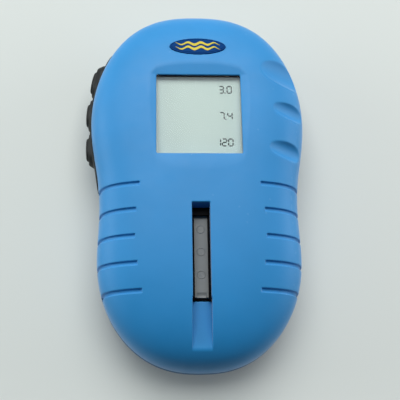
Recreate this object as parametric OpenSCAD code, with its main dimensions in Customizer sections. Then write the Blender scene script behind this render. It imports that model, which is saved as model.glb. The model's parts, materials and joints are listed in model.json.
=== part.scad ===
// Handheld digital test-strip reader: a domed case with a display, a strip
// tray in a slot, and three rubber push buttons on its left flank.
// +Y runs to the display end, +X to the right, +Z out of the display.
// The origin is on the flat back face, under the case's widest structure.

/* [Case outline] */
// Half width of the outline before the waist is drawn in
half_w = 46.5; // [45:0.1:48]
// Length from the origin to the display end
len_top = 74; // [72:0.1:77]
// Length from the origin to the strip end
len_bot = 77.9; // [76:0.1:80]
// Squareness of the display end (2 is an ellipse)
curve_top = 2.55; // [2.5:0.01:3]
// Squareness of the strip end (2 is an ellipse)
curve_bot = 2.38; // [2.35:0.01:2.7]
// How far the waist draws the sides in, as a part of the half width
waist_depth = 0.137; // [0.1:0.001:0.14]
// Place of the waist along the case
waist_y = -11.3; // [-14:0.1:-8]
// Reach of the waist along the case
waist_reach = 28.8; // [24:0.1:32]

/* [Case heights] */
// Height of the joint line above the back face
seam_z = 14.6; // [14.4:0.1:15]
// Height of the upper half above the joint line
upper_h = 20.5; // [20.5:0.1:21.2]
// Full depth of the lower half's curve, cut off flat at the back face
lower_h = 16.5; // [16.2:0.1:17]
// Squareness of the case in section
curve_section = 3.1; // [3:0.05:3.3]
// Wall thickness of both case halves
wall = 2.2; // [2:0.1:2.4]
// Thickness of the seal between the halves
seal_t = 0.6; // [0.4:0.1:0.8]

/* [Display] */
// Width of the display window
window_w = 34.2; // [33:0.1:35]
// Length of the display window
window_l = 35.3; // [34:0.1:36]
// Place of the window's centre along the case
window_y = 22.75; // [22.4:0.05:23]
// Length of the oval badge
badge_w = 22.9; // [20:0.1:24]
// Width of the oval badge
badge_l = 8.2; // [7:0.1:9]
// Place of the badge's centre along the case
badge_y = 53.7; // [53:0.1:55]

/* [Strip slot] */
// Width of the slot the tray is seen through
slot_w = 7; // [6.9:0.1:7.2]
// Display end of the slot
slot_y1 = -15.3; // [-15.6:0.1:-15]
// Strip end of the slot, where the open ramp starts
slot_y0 = -51.9; // [-52.6:0.1:-51.4]
// Height of the ramp's floor above the back face
ramp_z = 27.9; // [27.8:0.1:28]
// Width of the channel a test strip lies in
strip_w = 5.2; // [5.1:0.1:5.4]

/* [Grips] */
// Distance between neighbouring grip grooves
groove_pitch = 10.5; // [10:0.1:11]
// Place of the uppermost groove along the case
groove_y = -7.2; // [-8:0.1:-6]
// Width of a grip groove
groove_w = 1.45; // [1.2:0.05:1.8]
// Depth of a grip groove
groove_d = 0.9; // [0.6:0.1:1.1]

/* [Buttons] */
// Place of the middle button along the case
button_y = 29.8; // [29.5:0.1:30]
// Distance between neighbouring buttons
button_pitch = 15.5; // [15.3:0.1:15.8]
// Length of a button cap
cap_l = 9.9; // [9.6:0.1:10.6]
// Height of a button cap
cap_h = 6.8; // [6:0.1:7]
// How far a cap stands out of the case
cap_out = 2.5; // [2.3:0.1:2.9]
// How far the keypad surround stands out of the case
pad_out = 0.5; // [0.4:0.1:0.9]
// How far a button's collar stands out of the case
collar_out = 1.3; // [1.1:0.1:1.5]

/* [Hidden] */
$fn = 48;
tiny = 0.01;
// Clearance of fixed pieces that sit in pockets
gap = 0.1;
// Points round a shell's outline
round_n = 52;
dome_z = seam_z + seal_t / 2;
dome_h = upper_h - seal_t / 2;
bowl_z = seam_z - seal_t / 2;
bowl_h = lower_h - seal_t / 2;
// Fixing positions of the case and of the main board
case_fix = [[-21, 57], [21, 57], [-26, -49], [26, -49]];
board_fix = [[-22, 46], [22, 46], [-22, -40], [22, -40]];
board_z = 20.4;
board_t = 1.6;
board_top = board_z + board_t;
// Window stack, from the case's edge down
edge_z_top = 32.4;
edge_z_bot = 34.5;
lens_z = 30.8;
lens_t = 1.2;
panel_z = 27.6;
panel_t = 2.2;
frame_top = 30.5;
// Tray and its guide
tray_z = ramp_z + gap;
tray_t = 0.8;
tray_w = 6.4;
tray_y0 = slot_y0 + 0.4;
tray_y1 = 0.4;
guide_top = 29.75;
guide_w = 9.2;
// Hood of the guide, that shades the mouth of the reading chamber
hood_y0 = -19.4;
hood_y1 = slot_y1 - 1;
hood_top = 30.4;
// Optics stack on the guide
optics_y0 = -14;
optics_y1 = 1;
optics_z = 30.25;
optics_w = 16;
optics_board_z = 31.9;
// Grooves, by place along the case and by how far in they start
groove_in = [23.5, 24.8, 25.2, 24.2, 22.4];
// Scallops: centre of the round inner end, and radius; they dip to the side
scallops = [[32.4, 45.6, 39.25, 10], [33.9, 26.2, 35.5, 4.8], [31.5, 8.5, 36.35, 4.8]];
scallop_dip = 33;
scallop_turn = -9;
// Keys stand on a flat board, so all press one way: their frame is turned a
// little, and the outer two lie further in by key_step
key_turn = 3.3;
key_step = 1.05;
// Rubber collar round a key
collar_l = 14.4;
collar_h = 10.4;
pad_y0 = -4;
pad_y1 = 57.2;
pad_z0 = 8.9;
pad_z1 = 20;
pad_in = 1.6;
switch_x = -12;
switch_h = 3.5;
stem_x = -8.4;
flange_x = -6;
flange_t = 0.8;
// Battery bay
cell_r = 5.15;
cell_x = 5.7;
cell_z = 7.7;
cell_l = 43.5;
nub_l = 1;
bay_y0 = -40.4;
bay_y1 = 7.6;
bay_w = 22.8;
bay_wall = 1.6;
bay_top = 13.3;
door_t = 1.8;
door_w = 25.4;
door_y0 = -42.8;
door_y1 = 9.8;

// ---- outline and surface formulas ----

function sign_of(v) = v < 0 ? -1 : 1;
function power_of(v, n) = sign_of(v) * pow(abs(v), 2 / n);
function squareness(y) = y < 0 ? curve_bot : curve_top;
function reach(y, inset) = (y < 0 ? len_bot : len_top) - inset;
function waist(y) = 1 - waist_depth * exp(-pow((y - waist_y) / waist_reach, 2));

// Point of the outline at angle t, drawn in by inset and scaled by s
function outline_point(t, inset, s) =
  let (n = squareness(sin(t)))
  let (y = s * reach(sin(t), inset) * power_of(sin(t), n))
  [s * (half_w - inset) * power_of(cos(t), n) * waist(y), y];

function outline(inset, s = 1, n = round_n) =
  [for (i = [0 : n - 1]) outline_point(360 * i / n, inset, s)];

// Half width of the outline at a place along the case
function half_width_at(y, inset = 0) =
  let (n = squareness(y))
  (half_w - inset) * waist(y) * pow(1 - pow(abs(y) / reach(y, inset), n), 1 / n);

// How far out a point lies: 0 at the centre, 1 on the outline
function scale_at(x, y) =
  let (n = squareness(y))
  pow(pow(abs(x) / half_w / waist(y), n) + pow(abs(y) / reach(y, 0), n), 1 / n);

// Height of the dome's outer face over a point
function dome_at(x, y) =
  let (s = min(1, scale_at(x, y)))
  dome_z + dome_h * pow(1 - pow(s, curve_section), 1 / curve_section);

// ---- solids from rings ----

// Closed solid through a list of [inset, scale, height] rings
module loft(rings) {
  n = round_n;
  last = (len(rings) - 1) * n;
  points = [for (r = rings) for (p = outline(r[0], r[1])) [p[0], p[1], r[2]]];
  lower = [for (k = [0 : len(rings) - 2]) for (i = [0 : n - 1])
    [k * n + i, (k + 1) * n + i, (k + 1) * n + (i + 1) % n]];
  upper = [for (k = [0 : len(rings) - 2]) for (i = [0 : n - 1])
    [k * n + i, (k + 1) * n + (i + 1) % n, k * n + (i + 1) % n]];
  base = [[for (i = [0 : n - 1]) i]];
  top = [[for (i = [n - 1 : -1 : 0]) last + i]];
  polyhedron(points, concat(lower, upper, base, top), convexity = 8);
}

// Rings of a dome from the joint line up, as angles of its section curve
function dome_rings(inset, base, height, count) =
  [for (k = [0 : count])
    let (a = 84 * k / count)
    [inset, power_of(cos(a), curve_section), base + height * power_of(sin(a), curve_section)]];

// Rings of the lower half from the joint line down to its flat
function bowl_rings(inset, height, floor_z, count) =
  let (a1 = asin(pow((bowl_z - floor_z) / height, curve_section / 2)))
  [for (k = [0 : count])
    let (a = a1 * k / count)
    [inset, power_of(cos(a), curve_section), bowl_z - height * power_of(sin(a), curve_section)]];

function reversed(list) = [for (k = [len(list) - 1 : -1 : 0]) list[k]];

// ---- shared shapes ----

module rounded_rect(w, l, r) {
  square([w - 2 * r, l], center = true);
  square([w, l - 2 * r], center = true);
  for (x = [-1, 1], y = [-1, 1])
    translate([x * (w / 2 - r), y * (l / 2 - r)]) circle(r);
}

module plate(w, l, r, z0, z1, y = 0) {
  translate([0, y, z0]) linear_extrude(z1 - z0) rounded_rect(w, l, r);
}

// Box from low corner to high corner
module block(low, high) {
  translate(low) cube(high - low);
}

// Long rounded bar along the flank, from x0 to x1 out of the key frame
module key_bar(l, h, x0, x1) {
  translate([x0, 0, 0]) rotate([90, 0, 90]) linear_extrude(x1 - x0) {
    square([l - h, h], center = true);
    for (s = [-1, 1]) translate([s * (l - h) / 2, 0]) circle(h / 2);
  }
}

// Frame of the keys: +X out of the case, origin on the outline
module key_frame() {
  translate([-half_width_at(button_y), button_y, seam_z]) rotate([0, 0, 180 - key_turn])
    children();
}

// Place of one key along the key frame: -1 upper, 0 middle, 1 lower
module key_place(i) {
  translate([-key_step * abs(i), i * button_pitch, 0]) children();
}

// Band along the left flank between two insets
module flank_band(out, into, y0, y1, z0, z1) {
  steps = 20;
  ys = [for (k = [0 : steps]) y0 + (y1 - y0) * k / steps];
  outer = [for (y = ys) [-half_width_at(y) - out, y]];
  inner = [for (k = [steps : -1 : 0]) [-half_width_at(ys[k]) + into, ys[k]]];
  translate([0, 0, z0]) linear_extrude(z1 - z0) polygon(concat(outer, inner));
}

// ---- cuts in the case ----

// Barrel-shaped outline of the dish round the window
function barrel() =
  let (w = 18.9, y0 = 4.3, y1 = 42.6, bulge = 1.9, crown = 3.6, n = 8)
  concat(
    [for (k = [0 : n - 1]) let (u = 2 * k / n - 1) [w * u, y0 - crown * (1 - u * u)]],
    [for (k = [0 : n - 1]) let (u = 2 * k / n - 1)
      [w + bulge * (1 - u * u), y0 + (y1 - y0) * k / n]],
    [for (k = [0 : n - 1]) let (u = 2 * k / n - 1) [-w * u, y1 + crown * (1 - u * u)]],
    [for (k = [0 : n - 1]) let (u = 2 * k / n - 1)
      [-w - bulge * (1 - u * u), y1 - (y1 - y0) * k / n]]);

module window_dish() {
  y0 = window_y - window_l / 2;
  y1 = window_y + window_l / 2;
  hull() {
    for (x = [-1, 1]) {
      translate([x * window_w / 2, y0, edge_z_bot]) cube(tiny, center = true);
      translate([x * window_w / 2, y1, edge_z_top]) cube(tiny, center = true);
    }
    translate([0, 0, seam_z + upper_h + 0.2]) linear_extrude(tiny) polygon(barrel());
  }
}

// One grip groove: a bar that follows the dome and runs off the side
module groove_cut(i, side) {
  y = groove_y - groove_pitch * i;
  steps = 7;
  x0 = groove_in[i];
  x1 = half_width_at(y) - 0.02;
  xs = [for (k = [0 : steps]) x0 + (x1 - x0) * sin(90 * k / steps)];
  sec = [for (x = xs) let (z = dome_at(x, y)) let (m = sin(90 * (x - x0) / (x1 - x0)))
    [[x - groove_d * m, z - groove_d * sqrt(1 - m * m) - 0.25], [x + 2 * m, z + 2 - m]]];
  last = [[x1 - groove_d, dome_z - 1], [x1 + 2, dome_z - 1]];
  all = concat(sec, [last]);
  rows = len(all);
  points = [for (s = all) for (p = s) for (h = [-1, 1])
    [side * p[0], y + side * h * groove_w / 2, p[1]]];
  sides = [for (k = [0 : rows - 2]) let (a = 4 * k, b = 4 * k + 4)
    each [[a, b, b + 1], [a, b + 1, a + 1], [a + 1, b + 1, b + 3], [a + 1, b + 3, a + 3],
      [a + 3, b + 3, b + 2], [a + 3, b + 2, a + 2], [a + 2, b + 2, b], [a + 2, b, a]]];
  end = 4 * rows - 4;
  caps = [[0, 1, 3, 2], [end, end + 2, end + 3, end + 1]];
  polyhedron(points, concat(sides, caps), convexity = 4);
}

// One finger scallop on the right shoulder, or the wall behind it when grown
module scallop(s, grow = 0) {
  translate([s[0], s[1], s[2]]) {
    sphere(s[3] + grow);
    rotate([0, 90 + scallop_dip, scallop_turn]) cylinder(r = s[3] + grow, h = 30);
  }
}

// Slot over the tray, closed at the display end by a leaning wall
module slot_cut() {
  rotate([90, 0, 90]) translate([0, 0, -slot_w / 2]) linear_extrude(slot_w)
    polygon([[slot_y0, 25], [hood_y1 + gap, 25], [hood_y1 + gap, hood_top],
      [slot_y1, edge_z_bot + 1], [slot_y1, 40], [slot_y0, 40]]);
}

module badge_oval(grow, z0, z1) {
  slope = atan((dome_at(0, badge_y + 1) - dome_at(0, badge_y - 1)) / 2);
  translate([0, badge_y, dome_at(0, badge_y)]) rotate([slope, 0, 0]) translate([0, 0, z0])
    scale([badge_w / 2 + grow, badge_l / 2 + grow, 1]) cylinder(r = 1, h = z1 - z0);
}

module pad_cut() {
  flank_band(4, pad_in + gap / 2, pad_y0 - gap, pad_y1 + gap, pad_z0 - gap, pad_z1 + gap);
  key_frame() for (i = [-1, 0, 1]) key_place(i)
    key_bar(cap_l + 0.4, cap_h + 0.4, -6, 0);
}

// ---- the case ----

module upper_case() color([0.25, 0.56, 0.82]) difference() {
  union() {
    loft(concat(
      reversed(dome_rings(wall, dome_z, dome_h - wall, 6)),
      dome_rings(0, dome_z, dome_h, 10)));
    // Frame under the window
    plate(window_w + 3.8, window_l + 3.8, 1, frame_top + 0.2, edge_z_top - 0.6, window_y);
    // Walls of the slot and floor of the ramp
    rotate([90, 0, 90]) translate([0, 0, -5]) linear_extrude(10)
      polygon([[slot_y1 + 0.9, guide_top + gap], [slot_y1 + 0.9, 34], [-40, 33.2],
        [-53, 31.6], [-60, 30], [-68, 27.6], [-68, 26], [slot_y0 - 0.8, 26],
        [slot_y0 - 0.8, guide_top + gap]]);
    // Wall behind the scallops
    intersection() {
      loft(dome_rings(0, dome_z, dome_h, 10));
      for (s = scallops) scallop(s, 1.8);
    }
    // Screw bosses
    for (p = case_fix)
      translate([p[0], p[1], dome_z]) cylinder(r = 4, h = 27 - dome_z);
  }
  window_dish();
  plate(window_w, window_l, 0.6, 25, 40, window_y);
  plate(window_w + 2.2, window_l + 2.2, 1, 25, lens_z + lens_t, window_y);
  // Slot and ramp
  slot_cut();
  block([-slot_w / 2 - 0.2, -90, ramp_z], [slot_w / 2 + 0.2, slot_y0 + tiny, 40]);
  for (i = [0 : 4], side = [-1, 1]) groove_cut(i, side);
  for (s = scallops) scallop(s);
  badge_oval(gap, -0.7, 5);
  pad_cut();
  for (p = case_fix)
    translate([p[0], p[1], dome_z - 1]) cylinder(r = 1.45, h = 10);
}

module lower_case() color([0.1, 0.32, 0.55]) difference() {
  union() {
    loft(concat(
      reversed(bowl_rings(0, bowl_h, 0, 7)),
      bowl_rings(wall, bowl_h - wall, wall, 4)));
    // Battery bay
    block([-bay_w / 2 - bay_wall, bay_y0 - bay_wall, 1], [bay_w / 2 + bay_wall,
      bay_y1 + bay_wall, bay_top + bay_wall]);
    // Pockets for the door's tongues
    block([-bay_w / 2, bay_y1, 1], [bay_w / 2, 14.8, 5.4]);
    for (p = case_fix)
      translate([p[0], p[1], 4.4]) cylinder(r = 4, h = bowl_z - 4.4);
    for (p = board_fix)
      translate([p[0], p[1], 1.5]) cylinder(r = 2.6, h = board_z - 1.5);
  }
  block([-bay_w / 2, bay_y0, -1], [bay_w / 2, bay_y1, bay_top]);
  block([-door_w / 2 - gap, door_y0 - gap, -1], [door_w / 2 + gap,
    door_y1 + door_t / 2 + gap, door_t + gap]);
  // Latch notch and tongue pockets
  block([-4.2, door_y0 - 1.2, -1], [4.2, door_y0, door_t + gap]);
  for (x = [-7, 7])
    block([x - 2.2, door_y1 - 0.9, 0.8], [x + 2.2, door_y1 + 3.4, 4]);
  // Slots for the contact tabs
  for (x = [-cell_x, cell_x])
    block([x - 1.3, bay_y1 - 0.5, bay_top - 1], [x + 1.3, bay_y1, bay_top + 4]);
  pad_cut();
  for (p = case_fix) {
    translate([p[0], p[1], -1]) cylinder(r = 2.7, h = 9);
    translate([p[0], p[1], 5]) cylinder(r = 1.6, h = 12);
  }
  for (p = board_fix)
    translate([p[0], p[1], 12]) cylinder(r = 0.95, h = 12);
}

module case_seal() color([0.05, 0.05, 0.06]) difference() {
  translate([0, 0, bowl_z]) linear_extrude(seal_t) difference() {
    polygon(outline(0.3, 1, 2 * round_n));
    polygon(outline(1.9, 1, 2 * round_n));
  }
  flank_band(4, 6, pad_y0 - gap, pad_y1 + gap, pad_z0, pad_z1);
}

module badge() color([0.08, 0.17, 0.4]) badge_oval(0, -0.7, 0.35);

// ---- the display ----

module display_window() color([0.85, 0.9, 0.9, 0.5])
  plate(window_w + 2, window_l + 2, 0.9, lens_z, lens_z + lens_t, window_y);

module display_panel() color([0.77, 0.82, 0.79])
  plate(window_w + 1.8, window_l + 2.1, 0.5, panel_z, panel_z + panel_t, window_y);

module display_frame() color([0.12, 0.12, 0.13]) difference() {
  plate(window_w + 5.4, window_l + 5.6, 1.4, board_top, frame_top, window_y);
  plate(window_w + 2.2, window_l + 2.5, 0.7, board_top - 1, panel_z + panel_t + gap, window_y);
  plate(window_w + 0.4, window_l + 0.4, 0.7, 25, 40, window_y);
}

module display_reflector() color([0.9, 0.9, 0.88])
  plate(window_w + 1.6, window_l - 3, 0.5, panel_z - 0.25, panel_z, window_y);

module elastomer_strips() color([0.9, 0.55, 0.6])
  for (s = [-1, 1])
    translate([0, window_y + s * (window_l / 2 - 0.2), 0])
      block([-16, -0.9, board_top], [16, 0.9, panel_z]);

// ---- the electronics ----

module main_board() color([0.05, 0.35, 0.2]) difference() {
  plate(56, 95.4, 3, board_z, board_top, 4.7);
  for (p = board_fix)
    translate([p[0], p[1], board_z - 1]) cylinder(r = 1.15, h = 4);
}

module microcontroller() color([0.08, 0.08, 0.08])
  block([-6, 20, board_z - 1.6], [6, 32, board_z]);

module crystal() color([0.75, 0.75, 0.75])
  translate([0, 37, board_z - 3.6]) linear_extrude(3.6) rounded_rect(11, 4.6, 2.2);

module voltage_regulator() color([0.08, 0.08, 0.08])
  block([12, 18, board_z - 1.8], [18.5, 21.5, board_z]);

module capacitors() color([0.15, 0.2, 0.45])
  for (x = [13, 20])
    translate([x, 30, board_z - 5.4]) cylinder(r = 2.5, h = 5.4);

module tray_guide() color([0.04, 0.04, 0.045]) {
  difference() {
    block([-guide_w / 2, slot_y0 - 0.6, board_top], [guide_w / 2, 1.8, guide_top]);
    block([-tray_w / 2 - gap, -90, ramp_z], [tray_w / 2 + gap, 0.6, tray_z + tray_t + gap]);
    block([-strip_w / 2, -90, ramp_z], [strip_w / 2, 0.6, 40]);
    block([-guide_w / 2 + 1.4, slot_y0 + 1, board_top - 1], [guide_w / 2 - 1.4, 0.4, 26.5]);
  }
  block([-slot_w / 2 + gap, hood_y0, guide_top - tiny], [slot_w / 2 - gap, hood_y1, hood_top]);
}

module strip_tray() color([0.49, 0.48, 0.47]) difference() {
  block([-tray_w / 2, tray_y0, tray_z], [tray_w / 2, tray_y1, tray_z + tray_t]);
  // Hollow for a fingertip
  translate([0, tray_y0 + 0.8, tray_z + tray_t + 2.2]) rotate([0, 90, 0])
    cylinder(r = 2.5, h = 3.6, center = true);
}

module optics_window() color([0.85, 0.9, 0.92, 0.5])
  block([-6, optics_y0 + 0.5, guide_top], [6, optics_y1 - 0.5, optics_z]);

// Bores along the strip for the lights and the sensors
function reader_y(i) = optics_y0 + 3 + 4.5 * i;

module optics_block() color([0.06, 0.06, 0.06]) difference() {
  block([-optics_w / 2, optics_y0, optics_z], [optics_w / 2, optics_y1, optics_board_z]);
  for (i = [0 : 2], x = [-1.6, 1.6])
    translate([x, reader_y(i), optics_z - 1]) cylinder(r = 1.1, h = 4);
}

module optics_board() color([0.05, 0.35, 0.2])
  block([-optics_w / 2, optics_y0, optics_board_z], [optics_w / 2, optics_y1,
    optics_board_z + 0.8]);

module reader_leds() color([0.95, 0.95, 0.8])
  for (i = [0 : 2])
    translate([-1.6, reader_y(i), optics_board_z - 1]) cylinder(r = 0.9, h = 1);

module photodiodes() color([0.2, 0.2, 0.25])
  for (i = [0 : 2])
    translate([1.6, reader_y(i), optics_board_z - 0.7]) cylinder(r = 0.9, h = 0.7);

module optics_cable() color([0.8, 0.7, 0.3])
  block([optics_w / 2, optics_y0 + 3, board_top], [optics_w / 2 + 0.3, optics_y0 + 10,
    optics_board_z + 0.6]);

// ---- the keys ----

module keypad_surround() color([0.1, 0.11, 0.11]) difference() {
  union() {
    flank_band(pad_out, pad_in + 2, pad_y0, pad_y1, pad_z0, pad_z1);
    key_frame() for (i = [-1, 0, 1]) key_place(i)
      key_bar(collar_l, collar_h, -3, collar_out);
  }
  flank_band(-pad_in, 9, pad_y0 - 1, pad_y1 + 1, pad_z0 - 1, pad_z1 + 1);
  key_frame() for (i = [-1, 0, 1]) key_place(i)
    key_bar(cap_l + 0.3, cap_h + 0.3, -8, 9);
}

// A cap, its retaining flange and its stem
module button(i) color([0.07, 0.08, 0.08]) key_frame() {
  key_place(i) {
    key_bar(cap_l, cap_h, flange_x - tiny, cap_out);
    key_bar(cap_l + 2.4, cap_h + 2.4, flange_x - flange_t, flange_x);
  }
  translate([stem_x, i * button_pitch, 0]) rotate([0, 90, 0])
    cylinder(r = 1.6, h = flange_x - stem_x);
}

module upper_button() button(-1);
module middle_button() button(0);
module lower_button() button(1);

module plunger(i) color([0.7, 0.2, 0.15]) key_frame()
  translate([switch_x + 2.1, i * button_pitch, 0]) rotate([0, 90, 0])
    cylinder(r = 1.7, h = stem_x - switch_x - 2.1);

module upper_plunger() plunger(-1);
module middle_plunger() plunger(0);
module lower_plunger() plunger(1);

module switch_bodies() color([0.2, 0.2, 0.2]) key_frame()
  for (i = [-1, 0, 1]) translate([switch_x, i * button_pitch, 0]) difference() {
    block([0, -3, -3], [switch_h, 3, 3]);
    translate([1.2, 0, 0]) rotate([0, 90, 0]) cylinder(r = 1.76, h = 4);
  }

module key_board() color([0.05, 0.35, 0.2]) key_frame()
  block([switch_x - 1.6, -22, -5.4], [switch_x, 22, 5.4]);

module key_cable() color([0.8, 0.7, 0.3]) key_frame() {
  block([switch_x - 1.9, -4, -3], [switch_x - 1.6, 4, 4.3]);
  block([switch_x - 6, -4, 4.3], [switch_x - 1.6, 4, 4.6]);
}

module cable_connector() color([0.9, 0.88, 0.8]) key_frame()
  block([switch_x - 10, -5, 3.4], [switch_x - 6, 5, board_z - seam_z]);

// ---- the batteries ----

// side -1 is the left cell, 1 the right; they lie head to tail
module cell(side) color([0.75, 0.6, 0.2]) {
  nub = side < 0 ? bay_y1 - 0.4 : bay_y0 + 0.4;
  translate([side * cell_x, nub, cell_z]) rotate([side < 0 ? 90 : -90, 0, 0]) {
    cylinder(r = 1.9, h = nub_l + tiny);
    translate([0, 0, nub_l]) cylinder(r = cell_r, h = cell_l);
  }
}

module battery_left() cell(-1);
module battery_right() cell(1);

module battery_contacts() color([0.8, 0.8, 0.82]) {
  block([-10.4, bay_y0, 3.4], [10.4, bay_y0 + 0.4, 12]);
  for (x = [-cell_x, cell_x]) {
    block([x - 4.4, bay_y1 - 0.4, 3.4], [x + 4.4, bay_y1, 12]);
    block([x - 1, bay_y1 - 0.4, 12 - tiny], [x + 1, bay_y1, 16.6]);
  }
}

// Conical coil: rings of a wire along a helix
module coil(turns, r0, r1, h, wire) {
  n = 14 * turns;
  k = 6;
  points = [for (i = [0 : n])
    let (a = 360 * turns * i / n)
    let (r = r0 + (r1 - r0) * i / n)
    for (j = [0 : k - 1])
      let (b = 360 * j / k)
      [(r + wire * cos(b)) * cos(a), (r + wire * cos(b)) * sin(a),
        wire + (h - 2 * wire) * i / n + wire * sin(b)]];
  sides = [for (i = [0 : n - 1]) for (j = [0 : k - 1])
    let (a = i * k + j, b = i * k + (j + 1) % k)
    each [[a, b, b + k], [a, b + k, a + k]]];
  caps = [[for (j = [k - 1 : -1 : 0]) j], [for (j = [0 : k - 1]) n * k + j]];
  polyhedron(points, concat(sides, caps), convexity = 6);
}

module battery_springs() color([0.8, 0.8, 0.82]) {
  spring_h = bay_y1 - bay_y0 - 0.8 - cell_l - nub_l - 0.05;
  translate([-cell_x, bay_y0 + 0.4, cell_z]) rotate([-90, 0, 0])
    coil(3, 3.6, 2.2, spring_h, 0.3);
  translate([cell_x, bay_y1 - 0.4, cell_z]) rotate([90, 0, 0])
    coil(3, 3.6, 2.2, spring_h, 0.3);
}

module battery_leads() color([0.75, 0.1, 0.1])
  for (x = [-cell_x, cell_x]) translate([x, bay_y1, 15.9]) {
    rotate([-90, 0, 0]) cylinder(r = 0.55, h = 2.2);
    translate([0, 1.65, 0]) cylinder(r = 0.55, h = board_z - 15.9);
  }

// The door turns on its round edge, held by two tongues
module battery_door() color([0.1, 0.32, 0.55]) {
  block([-door_w / 2, door_y0, 0], [door_w / 2, door_y1, door_t]);
  translate([0, door_y1, door_t / 2]) rotate([0, 90, 0])
    cylinder(r = door_t / 2, h = door_w, center = true);
  block([-4, door_y0 - 1, 0.3], [4, door_y0 + 1, door_t]);
  for (x = [-7, 7])
    block([x - 2, door_y1, door_t / 2], [x + 2, door_y1 + 2.6, door_t]);
}

// ---- the screws ----

module screw(head_r, head_h, r, l) {
  difference() {
    cylinder(r = head_r, h = head_h);
    for (a = [0, 90]) rotate([0, 0, a])
      translate([0, 0, head_h * 0.1])
        cube([head_r * 1.1, 0.6, head_h], center = true);
  }
  translate([0, 0, head_h - tiny]) cylinder(r = r, h = l);
}

module case_screws() color([0.7, 0.7, 0.72])
  for (p = case_fix) translate([p[0], p[1], 6]) screw(2.5, 2, 1.4, 14);

module board_screws() color([0.7, 0.7, 0.72])
  for (p = board_fix) translate([p[0], p[1], board_top + 1.3]) mirror([0, 0, 1])
    screw(1.9, 1.3, 0.9, 7);

upper_case();
lower_case();
case_seal();
display_window();
badge();
display_panel();
display_frame();
display_reflector();
elastomer_strips();
main_board();
microcontroller();
crystal();
voltage_regulator();
capacitors();
optics_window();
optics_block();
optics_board();
reader_leds();
photodiodes();
optics_cable();
tray_guide();
strip_tray();
keypad_surround();
upper_button();
middle_button();
lower_button();
upper_plunger();
middle_plunger();
lower_plunger();
switch_bodies();
key_board();
key_cable();
cable_connector();
battery_left();
battery_right();
battery_contacts();
battery_springs();
battery_leads();
battery_door();
case_screws();
board_screws();
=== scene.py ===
"""Looks of a handheld test-strip reader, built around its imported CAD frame.

Lengths in this script are millimetres; a mesh turns to metres when it is made.
Each moulded piece is a distance field (negative inside) turned into a mesh.
"""
import json
import math

import bpy
import numpy as np
from mathutils import Matrix, Vector


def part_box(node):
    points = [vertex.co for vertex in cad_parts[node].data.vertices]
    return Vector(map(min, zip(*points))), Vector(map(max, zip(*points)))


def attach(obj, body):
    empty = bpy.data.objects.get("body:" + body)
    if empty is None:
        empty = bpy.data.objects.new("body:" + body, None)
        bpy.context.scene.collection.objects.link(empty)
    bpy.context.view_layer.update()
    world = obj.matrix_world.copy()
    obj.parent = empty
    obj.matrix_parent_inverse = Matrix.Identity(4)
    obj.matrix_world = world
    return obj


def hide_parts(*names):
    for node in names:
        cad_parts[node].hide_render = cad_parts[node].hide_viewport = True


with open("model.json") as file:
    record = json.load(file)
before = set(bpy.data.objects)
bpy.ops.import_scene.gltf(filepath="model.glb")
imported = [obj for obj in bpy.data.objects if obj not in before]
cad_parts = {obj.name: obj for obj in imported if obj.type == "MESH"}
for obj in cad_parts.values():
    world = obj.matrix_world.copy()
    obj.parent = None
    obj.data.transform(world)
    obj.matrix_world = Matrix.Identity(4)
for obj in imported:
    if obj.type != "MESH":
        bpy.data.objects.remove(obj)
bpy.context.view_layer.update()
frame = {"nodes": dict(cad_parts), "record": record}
MM = 0.001
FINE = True
QUICK_COARSER = 1.7


# ---- sizes, from the frame ----

def box_mm(node):
    """Lowest and highest corner of a CAD node, in millimetres."""
    low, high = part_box(node)
    return np.array(low) / MM, np.array(high) / MM


def centre_of(node):
    low, high = box_mm(node)
    return (low + high) / 2


UPPER_LOW, UPPER_HIGH = box_mm("upper_case")
LOWER_LOW, LOWER_HIGH = box_mm("lower_case")
SEAM_Z = centre_of("case_seal")[2]
SEAL_T = np.ptp([c[2] for c in box_mm("case_seal")])
LEN_TOP = UPPER_HIGH[1]
LEN_BOT = -UPPER_LOW[1]
DOME_Z = UPPER_LOW[2]
BOWL_Z = SEAM_Z - SEAL_T / 2
# The CAD dome stops just short of its crown
CROWN_SHARE = 0.9965
DOME_H = (UPPER_HIGH[2] - DOME_Z) / CROWN_SHARE
# The lower half's curve is deeper than its cut-off flat
BOWL_SHARE = 1.133
BOWL_H = BOWL_Z * BOWL_SHARE
WALL = 2.2

# Character of the outline and of the section
CURVE_TOP = 2.55
CURVE_BOT = 2.38
WAIST_DEPTH = 0.137
WAIST_Y = -11.3
WAIST_REACH = 28.8
CURVE_SECTION = 3.1
# Places along the case at which its widest one is looked for
OUTLINE_STEPS = 2001


def waist(y):
    """Share of the width that the waist leaves at y."""
    return 1 - WAIST_DEPTH * np.exp(-((y - WAIST_Y) / WAIST_REACH) ** 2)


def half_width_share(y):
    """Half width of the outline at y, as a share of its driving half width."""
    top = np.asarray(y, float) >= 0
    n = np.where(top, CURVE_TOP, CURVE_BOT)
    reach = np.where(top, LEN_TOP, LEN_BOT)
    return waist(y) * np.maximum(1 - (np.abs(y) / reach) ** n, 0) ** (1 / n)


HALF_W = UPPER_HIGH[0] / half_width_share(np.linspace(-LEN_BOT, LEN_TOP, OUTLINE_STEPS)).max()


def half_width(y):
    """Half width of the case at y."""
    return HALF_W * half_width_share(y)


# ---- distance fields: each takes points (x, y, z) and is negative inside ----

# Least values of what a field is divided by
LEAST_SLOPE = 1e-4
LEAST_SCALE = 1e-3
LEAST_LENGTH = 1e-6


def join(a, b, r=0.0):
    """Union, with a fillet of about r where the two meet."""
    low = np.minimum(a, b)
    if r <= 0:
        return low
    h = np.maximum(r - np.abs(a - b), 0) / r
    return low - h * h * r / 4


def cut(a, b, r=0.0):
    """What is inside both a and b, with an edge rounded by about r."""
    return -join(-a, -b, r)


def take(a, b, r=0.0):
    """What is inside a but not inside b, with an edge rounded by about r."""
    return cut(a, -b, r)


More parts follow.
